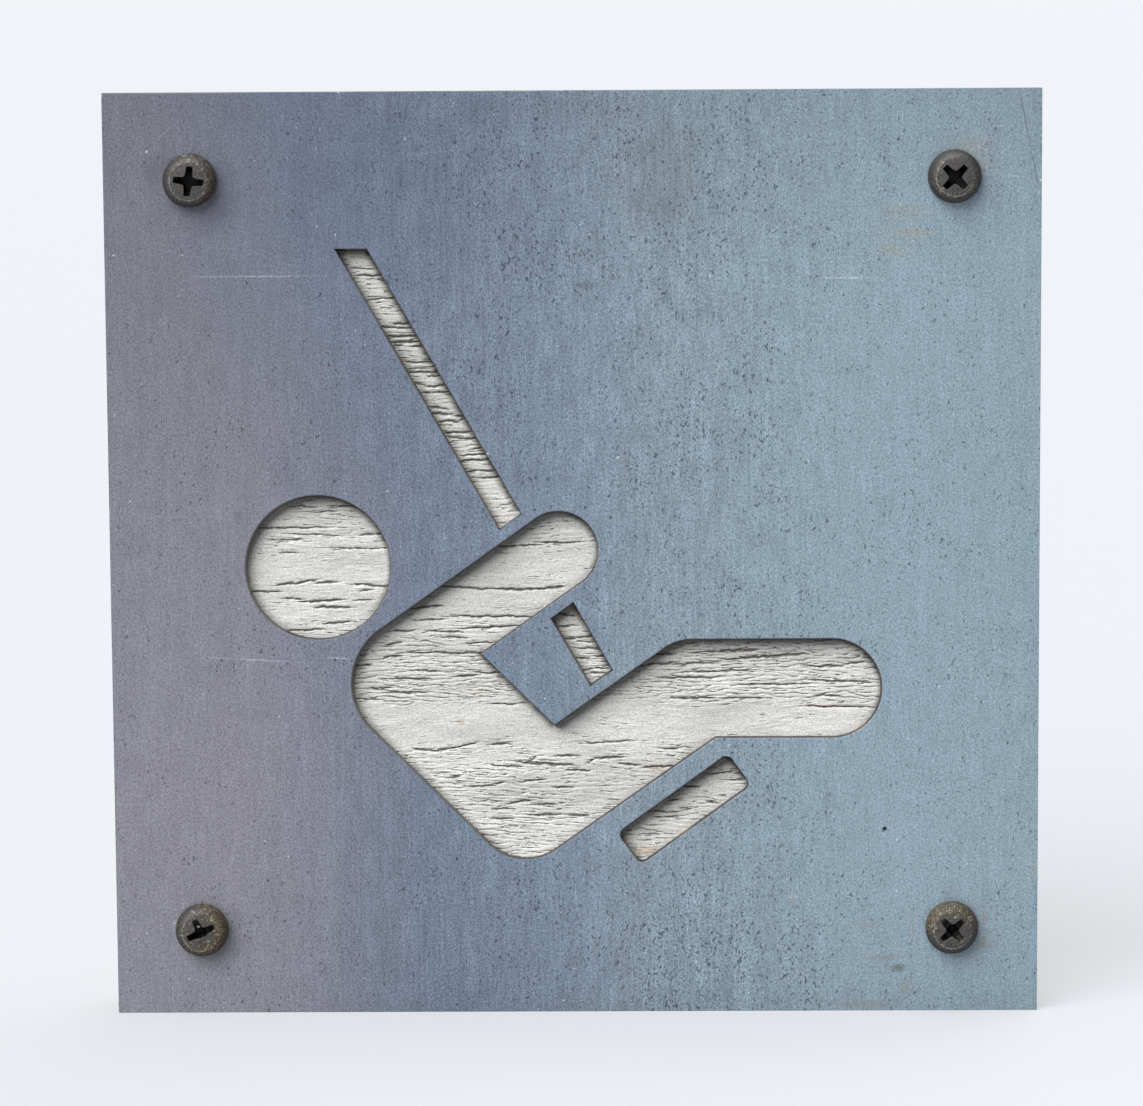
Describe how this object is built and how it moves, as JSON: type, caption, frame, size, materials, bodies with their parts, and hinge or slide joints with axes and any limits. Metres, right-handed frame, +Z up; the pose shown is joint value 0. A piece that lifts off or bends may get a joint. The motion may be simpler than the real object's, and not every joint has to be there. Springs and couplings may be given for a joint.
{
  "type": "metal silhouette sign",
  "caption": "Square steel sign with a cut-out figure on a swing, screwed at its corners to a whitewashed backing board with a keyhole hanger on the back.",
  "frame": {"origin": "middle of the footprint, on the surface that the sign stands on, midway between the screw crowns and the back of the board", "axes": "+X to the right as one faces the sign, +Y from the front of the sign to its back, +Z up"},
  "size_m": [0.14, 0.014, 0.14],
  "materials": {
    "mill_steel": "blued mill finish, satin, with fine vertical rolling streaks",
    "whitewashed_wood": "whitewashed and weathered, matt, with dark checks along the grain",
    "aged_screw_steel": "aged phosphated steel with light rust",
    "zinc_plate": "bright zinc plating, satin",
    "zinc_screw": "zinc plating, satin"
  },
  "bodies": {
    "root": {"face_plate": "mill_steel", "backing_board": "whitewashed_wood", "screw_top_left": "aged_screw_steel", "screw_top_right": "aged_screw_steel", "screw_bottom_left": "aged_screw_steel", "screw_bottom_right": "aged_screw_steel", "keyhole_hanger": "zinc_plate", "hanger_screw_upper": "zinc_screw", "hanger_screw_lower": "zinc_screw"}
  },
  "joints": []
}
